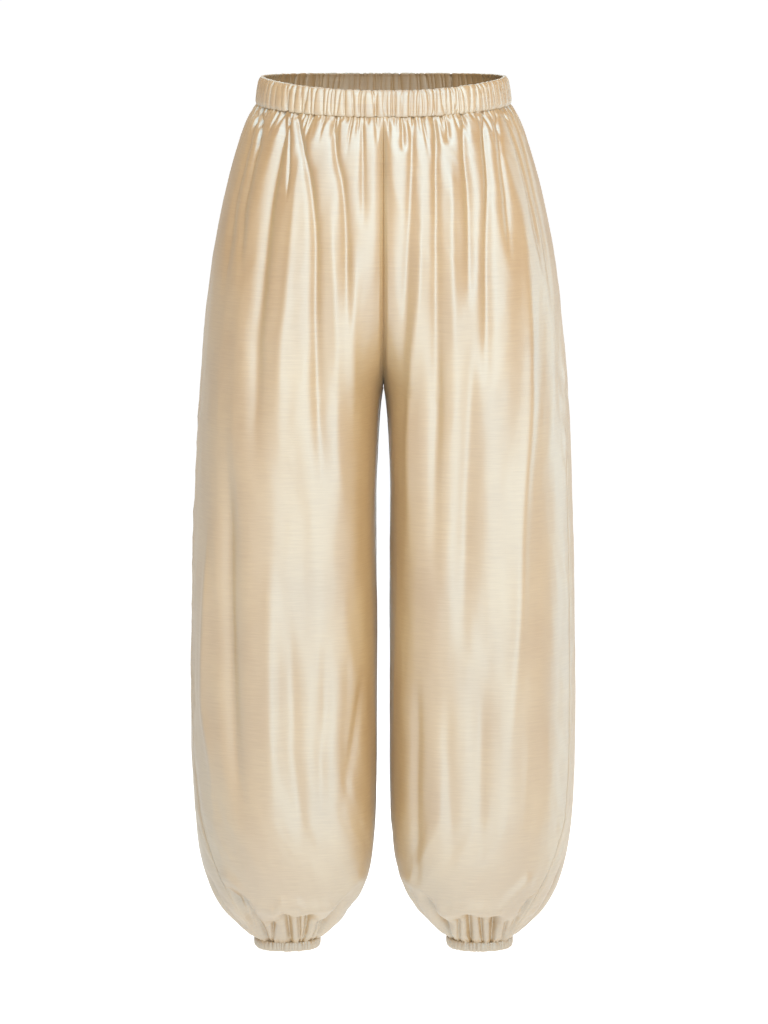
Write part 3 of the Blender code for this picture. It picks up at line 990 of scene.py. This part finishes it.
LEFT_FRONT = (
    Crease(((20, 13), (21, 53)), -3.2, (2, 4)),
    Crease(((32, 13), (31, 34), (29, 89), (26, 156), (23, 212), (19, 315)), -5.6, (3.0, 9)),
    Crease(((41, 44), (39, 156), (37, 211), (32, 267), (29, 324), (27, 379), (31, 570)), 3.4, (3, 10)),
    Crease(
        ((56, 13), (56, 35), (56, 90), (56, 156), (56, 211), (55, 322), (54, 432), (54, 568)),
        -7.6, (2.4, 12),
    ),
    Crease(((69, 13), (69, 45)), -3.0, (1.8, 3.5)),
    Crease(((72, 45), (73, 157), (74, 211), (76, 330)), 3.2, (4, 9)),
    Crease(((96, 210), (94, 280), (90, 374), (86, 478), (84, 620)), -6.4, (10, 13)),
    Crease(((85, 13), (86, 46), (91, 102), (92, 250)), -6.6, (2.4, 9)),
    Crease(((107, 13), (108, 39), (112, 90), (111, 158), (110, 340)), -6.4, (2.4, 9)),
    Crease(((121, 13), (123, 41), (126, 69), (131, 106), (136, 190)), -3.8, (2.0, 7)),
    Crease(((130, 13), (136, 32), (147, 65), (156, 99), (166, 151), (176, 210)), -3.6, (2.2, 7)),
    Crease(
        ((143, 60), (155, 220), (157, 321), (150, 429), (147, 539), (140, 649), (133, 758), (128, 840)),
        5.0, (10, 11),
    ),
    Crease(((135, 13), (148, 44), (163, 106), (175, 164), (184, 249)), -3.8, (2.2, 8)),
    Crease(((37, 600), (34, 766), (36, 845), (41, 911)), -4.2, (10, 10)),
    Crease(((101, 600), (105, 712), (104, 850)), -4.6, (11, 12)),
    Crease(((67, 620), (70, 733), (75, 860)), -3.4, (10, 11)),
    Crease(((38, 864), (51, 890), (64, 919), (74, 939.5)), -11.0, (9, 2.6)),
    Crease(((81, 907), (83, 939.5)), -5.5, (3.0, 1.6)),
    Crease(((90, 889), (94, 917), (96, 939.5)), -10.0, (6, 2.0)),
    Crease(((106, 902), (110, 939.5)), -6.5, (3.4, 1.7)),
    Crease(((124, 889), (122, 917), (120, 939.5)), -10.0, (6, 2.0)),
    Crease(((137, 904), (134, 939.5)), -5.5, (3.4, 1.7)),
    Crease(((171, 865), (155, 897), (138, 939.5)), -9.0, (8, 2.4)),
    Crease(((22, 863), (44, 913), (69, 939.5)), -8.0, (8, 2.4)),
)
RIGHT_ROLLS = (
    Roll(((66, 885), (84, 886), (95, 880), (111, 880), (120, 888)), 4.0, 8.0),
    Roll(((69, 919), (92, 910), (109, 910), (121, 916)), -4.5, 9.0),
    Roll(((140, 885), (155, 869), (170, 855)), 3.5, 9.0),
    Roll(((29, 858), (42, 871), (57, 884)), 3.0, 9.0),
)
LEFT_ROLLS = (
    Roll(((66, 895), (79, 889), (94, 885), (108, 886), (119, 892)), 4.0, 8.0),
    Roll(((69, 921), (82, 913), (98, 910), (120, 916)), -4.5, 9.0),
    Roll(((127, 884), (140, 870), (156, 854)), 3.5, 9.0),
    Roll(((31, 860), (44, 873), (58, 886)), 3.0, 9.0),
)


def folds(*rows: tuple[float, ...]) -> tuple[Crease, ...]:
    """Straight creases of a back panel.

    Args:
        rows: place as a share of the panel's width and drop, at the upper and the lower end, then the rise
            and the half width at both ends.

    Returns:
        The creases.
    """
    return tuple(Crease((row[:2], row[2:4]), row[4], row[5:], Across.SHARE) for row in rows)


LEFT_BACK = folds(
    (0.07, 15, 0.09, 330, -5.0, 2.4, 8), (0.15, 15, 0.16, 110, -3.4, 2.2, 5),
    (0.22, 15, 0.25, 520, -7.0, 2.4, 11), (0.27, 60, 0.31, 560, 4.2, 3, 11),
    (0.30, 15, 0.31, 90, -3.2, 2.2, 5), (0.36, 15, 0.38, 320, -5.4, 2.4, 9),
    (0.45, 15, 0.46, 640, -7.0, 2.4, 13), (0.50, 60, 0.52, 600, 4.0, 3, 12),
    (0.52, 15, 0.52, 100, -3.0, 2.2, 5), (0.60, 15, 0.59, 420, -6.0, 2.4, 10),
    (0.68, 15, 0.67, 130, -3.6, 2.2, 6), (0.76, 15, 0.73, 580, -6.0, 2.4, 12),
    (0.84, 15, 0.82, 190, -3.8, 2.2, 7), (0.93, 15, 0.91, 320, -3.6, 2.4, 8),
    (0.20, 420, 0.22, 860, -4.4, 12, 13), (0.62, 420, 0.60, 840, -5.4, 13, 14),
    (0.42, 600, 0.40, 860, -3.0, 9, 9), (0.10, 850, 0.12, 939.5, -7.0, 8, 4.4),
    (0.24, 820, 0.27, 939.5, -8.6, 8, 4.4), (0.40, 860, 0.42, 939.5, -7.0, 7, 4.4),
    (0.56, 810, 0.58, 939.5, -9.0, 9, 4.4), (0.74, 850, 0.74, 939.5, -7.4, 8, 4.4),
    (0.90, 830, 0.90, 939.5, -7.4, 8, 4.4),
)
RIGHT_BACK = folds(
    (0.08, 15, 0.09, 110, -3.6, 2.4, 6), (0.14, 15, 0.17, 450, -6.2, 2.4, 10),
    (0.19, 60, 0.22, 420, 3.6, 3, 10), (0.23, 15, 0.24, 130, -3.6, 2.2, 6),
    (0.29, 15, 0.32, 600, -7.0, 2.4, 12), (0.38, 15, 0.39, 100, -3.2, 2.2, 5),
    (0.45, 15, 0.46, 370, -5.6, 2.4, 9), (0.54, 15, 0.54, 660, -7.0, 2.4, 13),
    (0.59, 60, 0.59, 560, 4.0, 3, 12), (0.62, 15, 0.61, 110, -3.2, 2.2, 5),
    (0.70, 15, 0.68, 350, -5.2, 2.4, 9), (0.79, 15, 0.76, 600, -6.0, 2.4, 12),
    (0.87, 15, 0.85, 170, -3.8, 2.2, 6), (0.94, 15, 0.92, 240, -3.4, 2.4, 7),
    (0.24, 440, 0.22, 850, -4.4, 12, 13), (0.66, 400, 0.68, 830, -5.2, 13, 14),
    (0.44, 560, 0.46, 850, -3.2, 9, 10), (0.12, 840, 0.14, 939.5, -7.4, 8, 4.4),
    (0.28, 850, 0.30, 939.5, -7.4, 8, 4.4), (0.42, 810, 0.44, 939.5, -9.0, 9, 4.4),
    (0.60, 850, 0.60, 939.5, -7.0, 8, 4.4), (0.75, 830, 0.76, 939.5, -8.3, 8, 4.4),
    (0.91, 850, 0.91, 939.5, -6.7, 8, 4.4),
)


@dataclass(frozen=True)
class Softbox:
    """A white rectangular light.

    Attributes:
        name: the light's name.
        place: where it stands.
        size: its width and height in metres.
        radiance: how bright its face is.
    """

    name: str
    place: tuple[float, float, float]
    size: Pair
    radiance: float

    def build(self, aim: tuple[float, float, float]) -> None:
        """Makes the light and turns it to the point that it lights."""
        data = bpy.data.lights.new(self.name, "AREA")
        data.shape = "RECTANGLE"
        data.size, data.size_y = self.size
        data.energy = self.radiance * math.pi * self.size[0] * self.size[1]
        made = bpy.data.objects.new(self.name, data)
        bpy.context.scene.collection.objects.link(made)
        made.location = self.place
        towards = Vector(aim) - Vector(self.place)
        made.rotation_euler = towards.to_track_quat("-Z", "Y").to_euler()


@dataclass(frozen=True)
class Studio:
    """A plain white room with soft lights all round and a camera at the photograph's angle.

    Attributes:
        aim: the point that the camera looks at.
        distance: how far the camera is from it.
        elevation: the camera's height above the horizon, in degrees.
        lens: the focal length for a 36 mm sensor.
        floor_level: the floor's height, so low that the lower legs mirror the lights and not the floor.
        floor_reach: half the floor's side.
        white: the colour in which the floor glows.
        grey: the floor's own colour, darker than it looks, so that little of the softboxes' light comes back.
        glow: how strongly the floor glows.
        room_light: how strong the room's even light is.
        softboxes: the lights.
    """

    aim: tuple[float, float, float] = (0.0, 0.0, -0.4605)
    distance: float = 4.6
    elevation: float = 9.0
    lens: float = 147.0
    floor_level: float = -1.42
    floor_reach: float = 300.0
    white: str = "#F7F7F7"
    grey: str = "#A8A8A8"
    glow: float = 1.02
    room_light: float = 0.17
    softboxes: tuple[Softbox, ...] = (
        Softbox("key", (0.85, -3.5, -0.05), (3.4, 3.2), 1.18),
        Softbox("key core", (0.9, -3.6, -0.1), (2.1, 3.1), 0.82),
        Softbox("overhead", (0.0, -2.4, 2.3), (4.6, 1.4), 6.2),
        Softbox("right front", (2.5, -2.7, -0.1), (1.0, 3.0), 0.9),
        Softbox("right strip", (2.6, 1.4, -0.1), (1.5, 3.0), 1.9),
        Softbox("white background", (0.0, 3.0, -0.5), (0.9, 1.4), 5.0),
        Softbox("overhead back", (-0.6, 2.3, 2.5), (3.0, 1.8), 4.2),
    )

    def camera(self) -> None:
        """Sets the camera a little above the middle of the trousers and aims it down at it."""
        data = bpy.data.cameras.new("camera")
        data.lens = self.lens
        data.sensor_width = 36.0
        # The trousers stand half a pixel beside the middle of a frame 1024 pixels high.
        data.shift_x = 0.5 / 1024
        made = bpy.data.objects.new("camera", data)
        bpy.context.scene.collection.objects.link(made)
        up = math.radians(self.elevation)
        back = Vector((0.0, -math.cos(up), math.sin(up)))
        made.location = Vector(self.aim) + back * self.distance
        made.rotation_euler = (-back).to_track_quat("-Z", "Y").to_euler()
        bpy.context.scene.camera = made

    def build(self) -> None:
        """Makes the floor, the room's even light, the softboxes and the camera."""
        reach = self.floor_reach
        corners = [(-reach, -reach), (reach, -reach), (reach, reach), (-reach, reach)]
        mesh = bpy.data.meshes.new("floor")
        mesh.from_pydata([(x, y, self.floor_level) for x, y in corners], [], [(0, 1, 2, 3)])
        floor = bpy.data.objects.new("floor", mesh)
        bpy.context.scene.collection.objects.link(floor)
        paper = bpy.data.materials.new("white paper floor")
        paper.use_nodes = True
        shader = paper.node_tree.nodes["Principled BSDF"]
        shader.inputs["Base Color"].default_value = linear(self.grey)
        shader.inputs["Roughness"].default_value = 0.9
        shader.inputs["Emission Color"].default_value = linear(self.white)
        shader.inputs["Emission Strength"].default_value = self.glow
        mesh.materials.append(paper)
        room = bpy.data.worlds.new("white room")
        room.use_nodes = True
        light = room.node_tree.nodes["Background"].inputs
        light["Color"].default_value = linear("#FFFFFF")
        light["Strength"].default_value = self.room_light
        bpy.context.scene.world = room
        for softbox in self.softboxes:
            softbox.build(self.aim)
        self.camera()
        bpy.context.scene.view_settings.view_transform = "Standard"


def main() -> None:
    """Builds the pieces in the order in which they are sewn, then the room."""
    logging.basicConfig(level=logging.INFO, format="%(name)s %(message)s")
    body = SilkSatin("silk satin woven with slubs").material()
    shirred = SilkSatin("silk satin shirred").material()
    form = TrouserForm()
    panels = (
        ("right_front", Side.RIGHT, Face.FRONT, RIGHT_FRONT, RIGHT_ROLLS, 11),
        ("left_front", Side.LEFT, Face.FRONT, LEFT_FRONT, LEFT_ROLLS, 23),
        ("right_back", Side.RIGHT, Face.BACK, RIGHT_BACK, LEFT_ROLLS, 37),
        ("left_back", Side.LEFT, Face.BACK, LEFT_BACK, RIGHT_ROLLS, 41),
    )
    for node, side, face, creases, rolls, seed in panels:
        panel = ClothPanel(form, side, face, Relief(creases, rolls, seed)).build(node, body)
    band = ShirredCasing(
        ring=BAND_RING, middle=0.0, top=-17.0, height=30.0, wall=4.0, ribs=132,
        groove=2.6, width=0.72, slant=3.5, columns=1150, rows=36, dips=True, seed=5,
    )
    waistband = band.build("waistband", shirred)
    for node, side, seed in (("right_cuff", Side.RIGHT, 7), ("left_cuff", Side.LEFT, 9)):
        cuff = ShirredCasing(
            ring=CUFF_RING, middle=CUFF_MIDDLE * side.value, top=CUFF_SEAM, height=11.0, wall=3.4, ribs=46,
            groove=1.4, width=0.7, slant=1.0, columns=480, rows=28, dips=False, seed=seed,
        )
        made = cuff.build(node, shirred)
    Studio().build()


if __name__ == "__main__":
    main()
